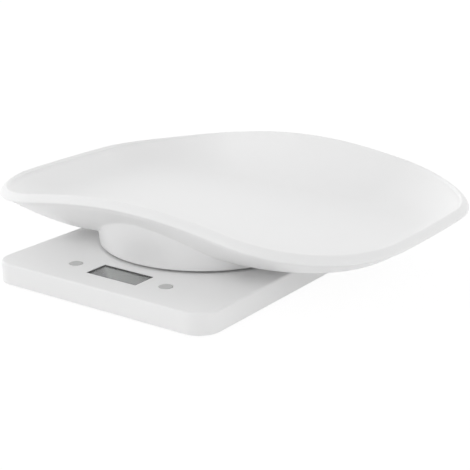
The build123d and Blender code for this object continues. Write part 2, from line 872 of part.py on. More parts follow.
def make_contact(end, rows, leaf_row, dimple_row, tag_row):
    # A plate against one end of the box. The leaf presses a flat end, the dimple meets a nub
    # and the tag goes out through the wall to a wire.
    with BuildPart() as contact:
        with BuildSketch(hub_plane(battery_axis_z - contact_height / 2)):
            with Locations((end * (contact_x + contact_thickness / 2), sum(rows) / len(rows))):
                Rectangle(contact_thickness, rows[-1] - rows[0] + contact_height)
        extrude(amount=contact_height)
        if leaf_row is not None:
            tip = end * (contact_x - leaf_reach)
            root = end * contact_x
            skin = contact_thickness
            with BuildSketch(hub_plane(battery_axis_z - leaf_width / 2)):
                with BuildLine():
                    ThreePointArc(
                        (root, leaf_row - leaf_span / 2), (tip, leaf_row), (root, leaf_row + leaf_span / 2)
                    )
                    Line((root, leaf_row + leaf_span / 2), (root, leaf_row + leaf_span / 2 - skin))
                    ThreePointArc(
                        (root, leaf_row + leaf_span / 2 - skin),
                        (tip + end * skin, leaf_row),
                        (root, leaf_row - leaf_span / 2 + skin),
                    )
                    Line((root, leaf_row - leaf_span / 2 + skin), (root, leaf_row - leaf_span / 2))
                make_face()
            extrude(amount=leaf_width)
        if dimple_row is not None:
            with BuildSketch(end_plane(end * contact_x, dimple_row, -end)):
                Circle(battery_nub_radius)
            extrude(amount=contact_dimple)
        if tag_row is not None:
            with BuildSketch(hub_plane(battery_axis_z - contact_thickness / 2)):
                with Locations((end * (box_length / 2 + solder_x) / 2, tag_row)):
                    Rectangle(solder_x - box_length / 2, tag_width)
            extrude(amount=contact_thickness)
    return contact


save(make_contact(-1, [front_row, back_row], back_row, front_row, None), "bridge_contact")
save(make_contact(1, [front_row], front_row, None, front_row), "negative_contact")
save(make_contact(1, [back_row], None, back_row, back_row), "positive_contact")

# Battery door: hooks on its front edge, a sprung latch with finger grooves on the other
with BuildPart() as battery_door:
    with BuildSketch(hub_plane(casing_bottom)):
        with Locations((0, box_y)):
            Rectangle(door_length, door_depth)
    extrude(amount=door_thickness)
    with BuildSketch(hub_plane(door_top)):
        with Locations(*tab_places):
            with Locations((0, tab_neck / 2)):
                Rectangle(tab_width, tab_neck)
    extrude(amount=tab_base + tab_thickness - door_top)
    with BuildSketch(hub_plane(tab_base)):
        with Locations(*tab_places):
            with Locations((0, -tab_reach / 2)):
                Rectangle(tab_width, tab_reach)
    extrude(amount=tab_thickness)
    with BuildSketch(hub_plane(door_top)):
        with Locations((0, latch_y - latch_wall / 2)):
            Rectangle(latch_width, latch_wall)
    extrude(amount=latch_height)
    with BuildSketch(hub_plane(door_top + latch_height - latch_nib)):
        with Locations((0, latch_y + latch_catch / 2)):
            Rectangle(latch_width, latch_catch)
    extrude(amount=latch_nib)
    with BuildSketch(hub_plane(casing_bottom)):
        with Locations((0, latch_y - grip_count * grip_pitch / 2 - grip_pitch)):
            with GridLocations(grip_pitch, grip_pitch, 1, grip_count):
                Rectangle(latch_width, grip_pitch / 2)
    extrude(amount=grip_depth, mode=Mode.SUBTRACT)
save(battery_door, "battery_door")

# Plugs of the wires on the circuit board
plug_y = display_y + board_depth / 2 - connector_depth / 2
plug_z = board_top + connector_height / 2


def make_plug(x):
    with BuildPart() as plug:
        with BuildSketch(Plane((x, plug_y, board_top))):
            Rectangle(connector_length, connector_depth)
        extrude(amount=connector_height)
        chamfer(plug.faces().sort_by(Axis.Z)[-1].edges(), length=connector_height / 10)
    return plug


save(make_plug(-connector_x), "cell_connector")
save(make_plug(connector_x), "battery_connector")


def wire_radii(points):
    # The largest arc at each corner that its two runs allow
    runs = [Vector(*after) - Vector(*before) for before, after in zip(points, points[1:])]
    radii = []
    for first, second in zip(runs, runs[1:]):
        half_turn = radians(first.get_angle(second)) / 2
        radii.append(wire_share * min(first.length, second.length) / tan(half_turn))
    return radii


def run_wire(points):
    # One wire along straight runs joined by arcs
    with BuildLine() as route:
        FilletPolyline(*points, radius=wire_radii(points))
    with BuildSketch(Plane(route.line @ 0, z_dir=route.line % 0)) as section:
        Circle(wire_radius)
    sweep(sections=section.sketch, path=route.line)


plug_back = plug_y + connector_depth / 2
wire_rise = cell_bottom + cell_height / 2
with BuildPart() as cell_wires:
    for index in range(4):
        offset_x = (index - 1.5) * wire_pitch
        start_x = offset_x - cell_length / 2 + connector_length / 2
        cell_front = hub_y - cell_width / 2
        run_wire([
            (start_x, cell_front, wire_rise),
            (start_x, cell_front - wire_bend, wire_rise),
            (offset_x - connector_x, plug_back + wire_bend, plug_z),
            (offset_x - connector_x, plug_back, plug_z),
        ])
save(cell_wires, "cell_wires")


def make_battery_wire(row, outward):
    # From the tag of a contact, round the end of the load cell, to the plug
    side_x = solder_x + wire_bend + outward * wire_pitch
    end_x = connector_x + (outward - 0.5) * wire_pitch
    with BuildPart() as wire:
        run_wire([
            (solder_x, hub_y + row, battery_axis_z),
            (side_x, hub_y + row, battery_axis_z),
            (side_x + wire_bend / 2, hub_y - wire_bend, battery_axis_z),
            (end_x, plug_back + wire_bend, plug_z),
            (end_x, plug_back, plug_z),
        ])
    return wire


save(make_battery_wire(front_row, 0), "negative_wire")
save(make_battery_wire(back_row, 1), "positive_wire")
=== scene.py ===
import math

import bpy
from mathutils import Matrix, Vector


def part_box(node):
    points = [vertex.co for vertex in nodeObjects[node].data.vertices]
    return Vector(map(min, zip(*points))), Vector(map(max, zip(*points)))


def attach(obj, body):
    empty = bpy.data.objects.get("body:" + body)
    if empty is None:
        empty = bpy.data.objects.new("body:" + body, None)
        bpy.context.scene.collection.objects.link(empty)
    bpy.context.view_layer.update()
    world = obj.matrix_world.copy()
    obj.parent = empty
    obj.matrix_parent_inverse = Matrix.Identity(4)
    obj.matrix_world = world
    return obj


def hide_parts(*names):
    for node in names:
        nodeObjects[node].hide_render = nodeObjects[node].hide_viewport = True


# Digital kitchen scale: white casing with a small display, and a saddle-shaped tray on a round pedestal.
# Shapes are worked out in millimetres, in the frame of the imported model, and become metres in buildMesh.

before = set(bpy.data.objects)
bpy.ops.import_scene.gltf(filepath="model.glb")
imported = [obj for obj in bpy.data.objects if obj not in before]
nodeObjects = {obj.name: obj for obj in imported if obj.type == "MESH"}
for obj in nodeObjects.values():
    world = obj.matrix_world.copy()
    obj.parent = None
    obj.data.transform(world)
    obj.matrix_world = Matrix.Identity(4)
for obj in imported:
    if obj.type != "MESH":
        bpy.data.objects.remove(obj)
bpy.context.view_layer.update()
print("packed model loaded:", len(nodeObjects), "nodes")


def buildMesh(name, points, faces, smooth=True):
    mesh = bpy.data.meshes.new(name)
    mesh.from_pydata([(x * 0.001, y * 0.001, z * 0.001) for x, y, z in points], [], faces)
    mesh.validate()
    if smooth:
        mesh.shade_smooth()
    piece = bpy.data.objects.new(name, mesh)
    bpy.context.scene.collection.objects.link(piece)
    return piece


def joinRings(rings, closeStart=False, closeEnd=False):
    # Quads between closed rings of the same length, with optional fans over the two ends
    count = len(rings[0])
    points = [point for ring in rings for point in ring]
    faces = []
    for r in range(len(rings) - 1):
        for i in range(count):
            j = (i + 1) % count
            faces.append((r * count + i, r * count + j, (r + 1) * count + j, (r + 1) * count + i))
    for ring, wanted in ((0, closeStart), (len(rings) - 1, closeEnd)):
        if wanted:
            first = ring * count
            middle = len(points)
            points.append(tuple(sum(p[k] for p in rings[ring]) / count for k in range(3)))
            for i in range(count):
                j = (i + 1) % count
                pair = (first + j, first + i) if ring == 0 else (first + i, first + j)
                faces.append(pair + (middle,))
    return points, faces


def mergePieces(parts):
    points, faces = [], []
    for partPoints, partFaces in parts:
        start = len(points)
        points += partPoints
        faces += [tuple(start + i for i in face) for face in partFaces]
    return points, faces


def turnAngles(count):
    return [2 * math.pi * i / count for i in range(count)]


# Shader groups: each puts out only what changes over the surface

def newGroup(name, inputs, outputs):
    group = bpy.data.node_groups.new(name, "ShaderNodeTree")
    for label, kind, value in inputs:
        socket = group.interface.new_socket(name=label, in_out="INPUT", socket_type="NodeSocket" + kind)
        socket.default_value = value
    for label, kind in outputs:
        group.interface.new_socket(name=label, in_out="OUTPUT", socket_type="NodeSocket" + kind)
    start = group.nodes.new("NodeGroupInput")
    end = group.nodes.new("NodeGroupOutput")
    return group, start, end


def mathNode(tree, operation, first, second=0.0, clamp=False):
    node = tree.nodes.new("ShaderNodeMath")
    node.operation = operation
    node.use_clamp = clamp
    for socket, value in zip(node.inputs, (first, second)):
        if isinstance(value, (int, float)):
            socket.default_value = value
        else:
            tree.links.new(value, socket)
    return node.outputs[0]


def noiseNode(tree, scale, detail, vector=None):
    noise = tree.nodes.new("ShaderNodeTexNoise")
    noise.inputs["Detail"].default_value = detail
    if isinstance(scale, (int, float)):
        noise.inputs["Scale"].default_value = scale
    else:
        tree.links.new(scale, noise.inputs["Scale"])
    if vector is None:
        vector = tree.nodes.new("ShaderNodeTexCoord").outputs["Object"]
    tree.links.new(vector, noise.inputs["Vector"])
    return noise.outputs["Fac"]


def mixColors(tree, factor, low, high):
    mix = tree.nodes.new("ShaderNodeMix")
    mix.data_type = "RGBA"
    tree.links.new(factor, mix.inputs[0])
    tree.links.new(low, mix.inputs[6])
    tree.links.new(high, mix.inputs[7])
    return mix.outputs[2]


def colorNode(tree, color):
    node = tree.nodes.new("ShaderNodeRGB")
    node.outputs[0].default_value = color
    return node.outputs[0]


def localMiddle(nodeName):
    # Middle of a node in its own coordinates
    low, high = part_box(nodeName)
    return nodeObjects[nodeName].matrix_world.inverted() @ ((low + high) / 2)


def axesFrom(tree, middle):
    # The three object coordinates, counted from one point
    shift = tree.nodes.new("ShaderNodeVectorMath")
    shift.operation = "SUBTRACT"
    tree.links.new(tree.nodes.new("ShaderNodeTexCoord").outputs["Object"], shift.inputs[0])
    shift.inputs[1].default_value = middle
    split = tree.nodes.new("ShaderNodeSeparateXYZ")
    tree.links.new(shift.outputs[0], split.inputs[0])
    return split.outputs


def radiusOf(tree, first, second):
    squares = mathNode(tree, "ADD", mathNode(tree, "POWER", first, 2.0), mathNode(tree, "POWER", second, 2.0))
    return mathNode(tree, "SQRT", squares)


def tonesOf(group, start, factor):
    return mixColors(group, factor, start.outputs["Low Tone"], start.outputs["High Tone"])


def addUnevenShine(group, start, end, scale, detail=3.0):
    # Roughness that wanders round its middle value in soft patches
    patches = mathNode(group, "SUBTRACT", noiseNode(group, scale, detail), 0.5)
    spread = mathNode(group, "MULTIPLY", patches, start.outputs["Roughness Spread"])
    group.links.new(mathNode(group, "ADD", start.outputs["Roughness"], spread), end.inputs["Roughness"])


skinInputs = [
    ("Low Tone", "Color", (0.5, 0.5, 0.5, 1)), ("High Tone", "Color", (0.6, 0.6, 0.6, 1)),
    ("Roughness", "Float", 0.4), ("Roughness Spread", "Float", 0.1),
]
skinOutputs = [("Color", "Color"), ("Roughness", "Float"), ("Height", "Float")]
metalMask = [("Metallic", "Float")]

# Mouldings: slow tone changes, a fine spark-eroded grain and a slightly uneven shine
mouldingMarks = {"toneScale": 18.0, "toneDetail": 2.0, "grainDetail": 2.0, "shineScale": 60.0}


def makeMouldedSkin():
    group, start, end = newGroup("mouldedSkin", skinInputs + [("Grain Scale", "Float", 2500.0)], skinOutputs)
    slow = noiseNode(group, mouldingMarks["toneScale"], mouldingMarks["toneDetail"])
    group.links.new(tonesOf(group, start, slow), end.inputs["Color"])
    grain = noiseNode(group, start.outputs["Grain Scale"], mouldingMarks["grainDetail"])
    group.links.new(grain, end.inputs["Height"])
    addUnevenShine(group, start, end, mouldingMarks["shineScale"])
    return group


# Metals: lines along one axis, as rolling, milling or plating leaves them, with a few dull patches
metalMarks = {"lineDetail": 3.0, "shineScale": 180.0, "shineDetail": 2.0}


def makeDrawnMetal():
    lineScale = ("Line Scale", "Vector", (200.0, 4000.0, 4000.0))
    group, start, end = newGroup("drawnMetal", skinInputs + [lineScale], skinOutputs)
    stretch = group.nodes.new("ShaderNodeVectorMath")
    stretch.operation = "MULTIPLY"
    group.links.new(group.nodes.new("ShaderNodeTexCoord").outputs["Object"], stretch.inputs[0])
    group.links.new(start.outputs["Line Scale"], stretch.inputs[1])
    lines = noiseNode(group, 1.0, metalMarks["lineDetail"], stretch.outputs[0])
    group.links.new(tonesOf(group, start, lines), end.inputs["Color"])
    group.links.new(lines, end.inputs["Height"])
    addUnevenShine(group, start, end, metalMarks["shineScale"], metalMarks["shineDetail"])
    return group


# Two AAA cells side by side: a dark sleeve, a copper shoulder towards the raised end and bare steel ends
cellMarks = {
    "shoulder": 0.0118, "line": 0.0009, "lineGap": 0.0012, "rowOffset": 0.005375, "bareRadius": 0.0042,
    "copper": (0.62, 0.3, 0.13, 1), "pale": (0.72, 0.68, 0.6, 1), "steel": (0.66, 0.66, 0.67, 1),
    "inkShine": 0.6, "toneScale": 60.0, "grainScale": 900.0, "shineScale": 120.0,
}


def makeSleeveBands():
    group, start, end = newGroup("sleeveBands", skinInputs, skinOutputs + metalMask)
    x, y, z = axesFrom(group, localMiddle("batteries"))
    along = mathNode(group, "MULTIPLY", x, mathNode(group, "SIGN", y))
    shoulder = mathNode(group, "GREATER_THAN", along, cellMarks["shoulder"])
    fromLine = mathNode(group, "SUBTRACT", along, cellMarks["shoulder"] - cellMarks["lineGap"])
    line = mathNode(group, "LESS_THAN", mathNode(group, "ABSOLUTE", fromLine), cellMarks["line"] / 2)
    across = mathNode(group, "SUBTRACT", mathNode(group, "ABSOLUTE", y), cellMarks["rowOffset"])
    inside = mathNode(group, "LESS_THAN", radiusOf(group, across, z), cellMarks["bareRadius"])
    body = tonesOf(group, start, noiseNode(group, cellMarks["toneScale"], 2.0))
    for mask, tone in ((shoulder, "copper"), (line, "pale"), (inside, "steel")):
        body = mixColors(group, mask, body, colorNode(group, cellMarks[tone]))
    group.links.new(body, end.inputs["Color"])
    ink = mathNode(group, "MULTIPLY", mathNode(group, "MAXIMUM", shoulder, line), cellMarks["inkShine"])
    group.links.new(mathNode(group, "MAXIMUM", ink, inside), end.inputs["Metallic"])
    group.links.new(noiseNode(group, cellMarks["grainScale"], 2.0), end.inputs["Height"])
    addUnevenShine(group, start, end, cellMarks["shineScale"])
    return group


# Rubber feet: fine moulded rings round the middle of each, and dust
footMarks = {
    "footX": 0.062, "footY": 0.077, "ringPitch": 0.0011, "ringReach": 0.0046,
    "grainScale": 1200.0, "dustScale": 260.0, "shineScale": 300.0,
}


def makeFootRings():
    group, start, end = newGroup("footRings", skinInputs, skinOutputs)
    x, y, z = axesFrom(group, localMiddle("rubber_feet"))
    aside = mathNode(group, "SUBTRACT", mathNode(group, "ABSOLUTE", x), footMarks["footX"])
    ahead = mathNode(group, "SUBTRACT", mathNode(group, "ABSOLUTE", y), footMarks["footY"])
    radius = radiusOf(group, aside, ahead)
    waves = mathNode(group, "SINE", mathNode(group, "MULTIPLY", radius, 2 * math.pi / footMarks["ringPitch"]))
    ringed = mathNode(group, "MULTIPLY", waves, mathNode(group, "LESS_THAN", radius, footMarks["ringReach"]))
    grain = noiseNode(group, footMarks["grainScale"], 3.0)
    group.links.new(mathNode(group, "ADD", ringed, grain), end.inputs["Height"])
    dust = noiseNode(group, footMarks["dustScale"], 4.0)
    group.links.new(tonesOf(group, start, dust), end.inputs["Color"])
    addUnevenShine(group, start, end, footMarks["shineScale"])
    return group


# Circuit board: copper tracks under the green mask and patches of tinned pads
boardMarks = {
    "trackScale": 150.0, "trackWidth": 0.035, "trackLength": 1.6, "trackPitch": 0.3, "trackRise": 0.5,
    "padScale": 394.0, "padRadius": 0.24, "patchScale": 190.0, "patchStart": 0.58,
    "tin": (0.7, 0.69, 0.66, 1), "shineScale": 500.0,
}


def makeBoardTracks():
    group, start, end = newGroup("boardTracks", skinInputs, skinOutputs + metalMask)
    coordinates = group.nodes.new("ShaderNodeTexCoord").outputs["Object"]
    bricks = group.nodes.new("ShaderNodeTexBrick")
    group.links.new(coordinates, bricks.inputs["Vector"])
    for label, value in (("Scale", "trackScale"), ("Mortar Size", "trackWidth"),
                         ("Brick Width", "trackLength"), ("Row Height", "trackPitch")):
        bricks.inputs[label].default_value = boardMarks[value]
    tracks = bricks.outputs["Fac"]
    dots = group.nodes.new("ShaderNodeTexVoronoi")
    dots.inputs["Scale"].default_value = boardMarks["padScale"]
    dots.inputs["Randomness"].default_value = 0.0
    group.links.new(coordinates, dots.inputs["Vector"])
    near = mathNode(group, "LESS_THAN", dots.outputs["Distance"], boardMarks["padRadius"])
    patch = noiseNode(group, boardMarks["patchScale"], 0.0)
    pads = mathNode(group, "MULTIPLY", near, mathNode(group, "GREATER_THAN", patch, boardMarks["patchStart"]))
    tinned = mixColors(group, pads, tonesOf(group, start, tracks), colorNode(group, boardMarks["tin"]))
    group.links.new(tinned, end.inputs["Color"])
    group.links.new(pads, end.inputs["Metallic"])
    raisedTracks = mathNode(group, "MULTIPLY", tracks, boardMarks["trackRise"])
    group.links.new(mathNode(group, "ADD", raisedTracks, pads), end.inputs["Height"])
    addUnevenShine(group, start, end, boardMarks["shineScale"])
    return group


mouldedSkin = makeMouldedSkin()
drawnMetal = makeDrawnMetal()
sleeveBands = makeSleeveBands()
footRings = makeFootRings()
boardTracks = makeBoardTracks()


def newMaterial(name):
    material = bpy.data.materials.new(name)
    material.use_nodes = True
    return material, material.node_tree, material.node_tree.nodes["Principled BSDF"]


def placeSkin(tree, shader, group, look):
    skin = tree.nodes.new("ShaderNodeGroup")
    skin.node_tree = group
    for label in ("Low Tone", "High Tone"):
        skin.inputs[label].default_value = (*look[label], 1)
    for label in ("Grain Scale", "Line Scale", "Roughness", "Roughness Spread"):
        if label in look:
            skin.inputs[label].default_value = look[label]
    tree.links.new(skin.outputs["Color"], shader.inputs["Base Color"])
    tree.links.new(skin.outputs["Roughness"], shader.inputs["Roughness"])
    return skin


def makeMaterial(name, group, look):
    # The group gives colour, roughness and height, and the rest stays on the shader's own sockets
    material, tree, shader = newMaterial(name)
    skin = placeSkin(tree, shader, group, look)
    bump = tree.nodes.new("ShaderNodeBump")
    bump.inputs["Strength"].default_value = look["bump"]
    bump.inputs["Distance"].default_value = look.get("bumpDepth", 0.00005)
    tree.links.new(skin.outputs["Height"], bump.inputs["Height"])
    tree.links.new(bump.outputs["Normal"], shader.inputs["Normal"])
    if "Metallic" in skin.outputs:
        tree.links.new(skin.outputs["Metallic"], shader.inputs["Metallic"])
    else:
        shader.inputs["Metallic"].default_value = look.get("metallic", 0.0)
    shader.inputs["IOR"].default_value = 1.49
    shader.inputs["Coat Weight"].default_value = look.get("coat", 0.0)
    shader.inputs["Coat Roughness"].default_value = 0.1
    return material


def grey(level, warmth=0.0):
    return (level + warmth, level, level - warmth)


finishes = {
    "trayWhite": (mouldedSkin, {
        "Low Tone": grey(0.918), "High Tone": grey(0.93), "Grain Scale": 1500.0,
        "Roughness": 0.3, "Roughness Spread": 0.05, "bump": 0.03,
    }),
    "casingWhite": (mouldedSkin, {
        "Low Tone": grey(0.918), "High Tone": grey(0.93), "Grain Scale": 3200.0,
        "Roughness": 0.42, "Roughness Spread": 0.08, "bump": 0.12,
    }),
    "undersideWhite": (mouldedSkin, {
        "Low Tone": grey(0.78), "High Tone": grey(0.81), "Grain Scale": 2200.0,
        "Roughness": 0.5, "Roughness Spread": 0.1, "bump": 0.2,
    }),
    "keyGrey": (mouldedSkin, {
        "Low Tone": grey(0.56), "High Tone": grey(0.6), "Grain Scale": 3600.0,
        "Roughness": 0.4, "Roughness Spread": 0.08, "bump": 0.1,
    }),
    "holderDark": (mouldedSkin, {
        "Low Tone": grey(0.06), "High Tone": grey(0.08), "Grain Scale": 3000.0,
        "Roughness": 0.5, "Roughness Spread": 0.1, "bump": 0.1,
    }),
    "footRubber": (footRings, {
        "Low Tone": grey(0.42, 0.004), "High Tone": grey(0.5, 0.004),
        "Roughness": 0.75, "Roughness Spread": 0.12, "bump": 0.4, "bumpDepth": 0.0001,
    }),
    "stripRubber": (mouldedSkin, {
        "Low Tone": (0.5, 0.36, 0.33), "High Tone": (0.6, 0.45, 0.42), "Grain Scale": 1800.0,
        "Roughness": 0.65, "Roughness Spread": 0.1, "bump": 0.2,
    }),
    "blackPlastic": (mouldedSkin, {
        "Low Tone": grey(0.02), "High Tone": grey(0.035), "Grain Scale": 4000.0,
        "Roughness": 0.45, "Roughness Spread": 0.15, "bump": 0.2,
    }),
    "plugIvory": (mouldedSkin, {
        "Low Tone": (0.74, 0.7, 0.58), "High Tone": (0.8, 0.76, 0.64), "Grain Scale": 3000.0,
        "Roughness": 0.45, "Roughness Spread": 0.1, "bump": 0.15,
    }),
    "boardMask": (boardTracks, {
        "Low Tone": (0.012, 0.12, 0.045), "High Tone": (0.03, 0.25, 0.1),
        "Roughness": 0.3, "Roughness Spread": 0.1, "bump": 0.25, "coat": 0.4,
    }),
    "gaugeFilm": (mouldedSkin, {
        "Low Tone": (0.5, 0.2, 0.03), "High Tone": (0.62, 0.28, 0.06), "Grain Scale": 1600.0,
        "Roughness": 0.3, "Roughness Spread": 0.1, "bump": 0.1, "coat": 0.5,
    }),
    "wireWhite": (mouldedSkin, {
        "Low Tone": grey(0.72), "High Tone": grey(0.8), "Grain Scale": 2600.0,
        "Roughness": 0.4, "Roughness Spread": 0.1, "bump": 0.1,
    }),
    "wireBlack": (mouldedSkin, {
        "Low Tone": grey(0.015), "High Tone": grey(0.025), "Grain Scale": 2600.0,
        "Roughness": 0.4, "Roughness Spread": 0.1, "bump": 0.1,
    }),
    "wireRed": (mouldedSkin, {
        "Low Tone": (0.42, 0.01, 0.01), "High Tone": (0.52, 0.02, 0.02), "Grain Scale": 2600.0,
        "Roughness": 0.4, "Roughness Spread": 0.1, "bump": 0.1,
    }),
    "batterySleeve": (sleeveBands, {
        "Low Tone": (0.03, 0.035, 0.045), "High Tone": (0.04, 0.045, 0.06),
        "Roughness": 0.25, "Roughness Spread": 0.08, "bump": 0.05, "coat": 0.3,
    }),
    "zincSteel": (drawnMetal, {
        "Low Tone": grey(0.5), "High Tone": grey(0.68), "Line Scale": (900.0, 900.0, 900.0),
        "Roughness": 0.3, "Roughness Spread": 0.15, "bump": 0.1, "metallic": 1.0,
    }),
    "cellAluminium": (drawnMetal, {
        "Low Tone": grey(0.62), "High Tone": grey(0.78), "Line Scale": (60.0, 5000.0, 5000.0),
        "Roughness": 0.34, "Roughness Spread": 0.1, "bump": 0.15, "metallic": 1.0,
    }),
    "nickelSpring": (drawnMetal, {
        "Low Tone": (0.55, 0.53, 0.49), "High Tone": (0.72, 0.7, 0.66), "Line Scale": (3000.0, 100.0, 3000.0),
        "Roughness": 0.22, "Roughness Spread": 0.12, "bump": 0.08, "metallic": 1.0,
    }),
    "switchPlate": (drawnMetal, {
        "Low Tone": grey(0.42), "High Tone": grey(0.6), "Line Scale": (300.0, 4000.0, 4000.0),
        "Roughness": 0.32, "Roughness Spread": 0.1, "bump": 0.1, "metallic": 1.0,
    }),
}
materials = {name: makeMaterial(name, group, look) for name, (group, look) in finishes.items()}

# Clear acrylic, with a faint unevenness of the polish
windowLook = {
    "Low Tone": (0.93, 0.94, 0.94), "High Tone": (0.96, 0.97, 0.97),
    "Roughness": 0.04, "Roughness Spread": 0.02, "ior": 1.3,
}


def makeWindowMaterial():
    material, tree, shader = newMaterial("clearAcrylic")
    placeSkin(tree, shader, mouldedSkin, windowLook)
    shader.inputs["Transmission Weight"].default_value = 1.0
    shader.inputs["IOR"].default_value = windowLook["ior"]
    return material


# Display at rest: a grey film with a painted reflection, darker at the left past a slanting soft edge and
# fading a little to the right
displayLook = {
    "Low Tone": (0.32, 0.323, 0.316), "High Tone": (0.37, 0.373, 0.366),
    "Grain Scale": 5000.0, "Roughness": 0.25, "Roughness Spread": 0.05,
    "width": 0.0352, "depth": 0.0161, "slant": 0.52, "edge": 0.47, "soft": 0.05,
    "darkPart": 0.55, "fadeStart": 0.9, "fadeLength": 0.5, "fade": 0.14,
}


def paintedReflectionTone(tree):
    film = displayLook
    x, y, z = axesFrom(tree, localMiddle("lcd_panel"))
    across = mathNode(tree, "MULTIPLY", x, 1 / film["width"])
    along = mathNode(tree, "MULTIPLY", y, film["slant"] / film["depth"])
    place = mathNode(tree, "ADD", mathNode(tree, "ADD", across, along), 0.5 + film["slant"] / 2)
    # Painted reflection: the film turns lighter past the slanting soft edge and fades again towards the right
    pastEdge = mathNode(tree, "SUBTRACT", place, film["edge"] - film["soft"])
    lit = mathNode(tree, "MULTIPLY", pastEdge, 0.5 / film["soft"], clamp=True)
    pastFade = mathNode(tree, "SUBTRACT", place, film["fadeStart"])
    late = mathNode(tree, "MULTIPLY", pastFade, 1 / film["fadeLength"], clamp=True)
    tone = mathNode(tree, "ADD", mathNode(tree, "MULTIPLY", lit, 1 - film["darkPart"]), film["darkPart"])
    return mathNode(tree, "SUBTRACT", tone, mathNode(tree, "MULTIPLY", late, film["fade"]))


def makeDisplayMaterial():
    material, tree, shader = newMaterial("lcdGrey")
    skin = placeSkin(tree, shader, mouldedSkin, displayLook)
    toned = tree.nodes.new("ShaderNodeVectorMath")
    toned.operation = "SCALE"
    tree.links.new(skin.outputs["Color"], toned.inputs[0])
    tree.links.new(paintedReflectionTone(tree), toned.inputs["Scale"])
    tree.links.new(toned.outputs[0], shader.inputs["Base Color"])
    return material


materials["clearAcrylic"] = makeWindowMaterial()
materials["lcdGrey"] = makeDisplayMaterial()
print("materials built:", len(materials))

nodeFinishes = {
    "base_top_cover": "casingWhite", "base_bottom_cover": "undersideWhite", "rubber_feet": "footRubber",
    "casing_screws": "zincSteel", "tray": "trayWhite", "platform": "undersideWhite",
    "platform_screws": "zincSteel", "load_cell": "cellAluminium", "load_cell_spacer": "cellAluminium",
    "load_cell_screws": "zincSteel", "strain_gauges": "gaugeFilm", "main_board": "boardMask",
    "board_screws": "zincSteel", "controller_chip": "blackPlastic", "capacitor": "blackPlastic",
    "lcd_holder": "holderDark", "display_window": "clearAcrylic", "lcd_panel": "lcdGrey",
    "contact_strip": "stripRubber", "unit_button": "keyGrey", "unit_switch_plunger": "blackPlastic",
    "power_button": "keyGrey", "power_switch_plunger": "blackPlastic", "tact_switches": "switchPlate",
    "batteries": "batterySleeve", "bridge_contact": "nickelSpring", "negative_contact": "nickelSpring",
    "positive_contact": "nickelSpring", "battery_door": "undersideWhite", "cell_connector": "plugIvory",
    "battery_connector": "plugIvory", "cell_wires": "wireWhite", "negative_wire": "wireBlack",
    "positive_wire": "wireRed",
}
for nodeName, finishName in nodeFinishes.items():
    for materialSlot in nodeObjects[nodeName].material_slots:
        materialSlot.material = materials[finishName]

# Tray: a bowl that hangs from an arched rim, with a rolled lip and a pedestal under it
tray = {
    "length": 274.5, "width": 203.4, "middleY": 12.85, "endBow": 5.8, "sideBow": 2.1, "corner": 64.5,
    "bottom": 1.2, "rimHeight": 51.3, "rimDrop": 14.2, "rimFlare": 16.8,
    "bowlReach": 3.3, "bowlBase": 0.3, "bowlFall": 16.4, "bowlPower": 2.3, "dishPower": 2.7,
    "floor": 20.2, "floorBlend": 2.0, "dishBlend": 5.0, "wall": 2.4,
    "lipWidth": 6.0, "lipStep": 2.0, "lipHang": 2.9,
    "turns": 288, "dishRings": 44, "dishSpacing": 0.8, "underRings": 36, "underSpacing": 0.85,
    # Section of the lip, from inside the bowl to the underside: inset from the edge, height over the rim
    "lipSection": [
        (5.9, -1.55), (5.7, -1.2), (5.45, -0.8), (5.15, -0.42), (4.85, -0.15), (4.5, -0.02), (4.15, 0.0),
        (3.8, -0.08), (3.4, -0.25), (2.9, -0.55), (2.25, -1.0), (1.6, -1.52), (1.05, -2.05), (0.55, -2.65),
        (0.22, -3.25), (0.04, -3.75), (0.0, -4.1), (0.08, -4.38), (0.28, -4.55), (0.6, -4.6), (1.25, -4.6),
        (1.45, -4.5), (1.5, -4.2), (1.6, -3.6), (1.9, -3.3), (2.4, -3.3), (2.75, -3.6), (2.85, -4.4),
    ],
}
halfLength = tray["length"] / 2
halfWidth = tray["width"] / 2
cornerX = halfLength - tray["endBow"]
cornerY = halfWidth - tray["sideBow"]
endRadius = (cornerY**2 + tray["endBow"]**2) / (2 * tray["endBow"])
sideRadius = (cornerX**2 + tray["sideBow"]**2) / (2 * tray["sideBow"])


def rimLevel(x):
    # The rim arches over the middle, drops towards both ends and runs out level there
    reach = x / halfLength
    drop = (tray["rimDrop"] + tray["rimFlare"]) * reach**2
    return tray["bottom"] + tray["rimHeight"] - drop + tray["rimFlare"] * reach**4


def beyondEdge(x, y):
    # How far a place lies past the outline, of four bowed sides with round corners; negative inside
    pastEnd = math.hypot(abs(x) - halfLength + endRadius, y) - endRadius + tray["corner"]
    pastSide = math.hypot(x, abs(y) - halfWidth + sideRadius) - sideRadius + tray["corner"]
    rounded = math.hypot(max(pastEnd, 0), max(pastSide, 0))
    return rounded + min(max(pastEnd, pastSide), 0) - tray["corner"]


def lastBelow(low, high, isBelow, halvings=40):
    # The highest value that still passes the test, by halving the interval
    for _ in range(halvings):
        middle = (low + high) / 2
        if isBelow(middle):
            low = middle
        else:
            high = middle
    return low


def reachAt(angle, inset):
    # Distance from the middle to the inset outline in one direction
    c, s = math.cos(angle), math.sin(angle)
    return lastBelow(0.0, tray["length"], lambda reach: beyondEdge(reach * c, reach * s) < -inset)


def bowlLevel(x, spread, base, drop, power):
    # One face of the bowl: spread runs from 0 in the middle to 1 at the rim
    bottom = base - tray["bowlFall"] * (x / halfLength) ** 2
    return bottom + (rimLevel(x) - drop - bottom) * spread**power


def raised(level, floor, blend):
    # The higher of the two, with a soft change from one to the other
    return (level + floor + math.sqrt((level - floor) ** 2 + blend**2)) / 2


def undersideLevel(x, spread):
    base = tray["bottom"] + tray["bowlBase"]
    level = bowlLevel(x, spread, base, tray["bowlReach"], tray["bowlPower"])
    return raised(level, tray["floor"], tray["floorBlend"])


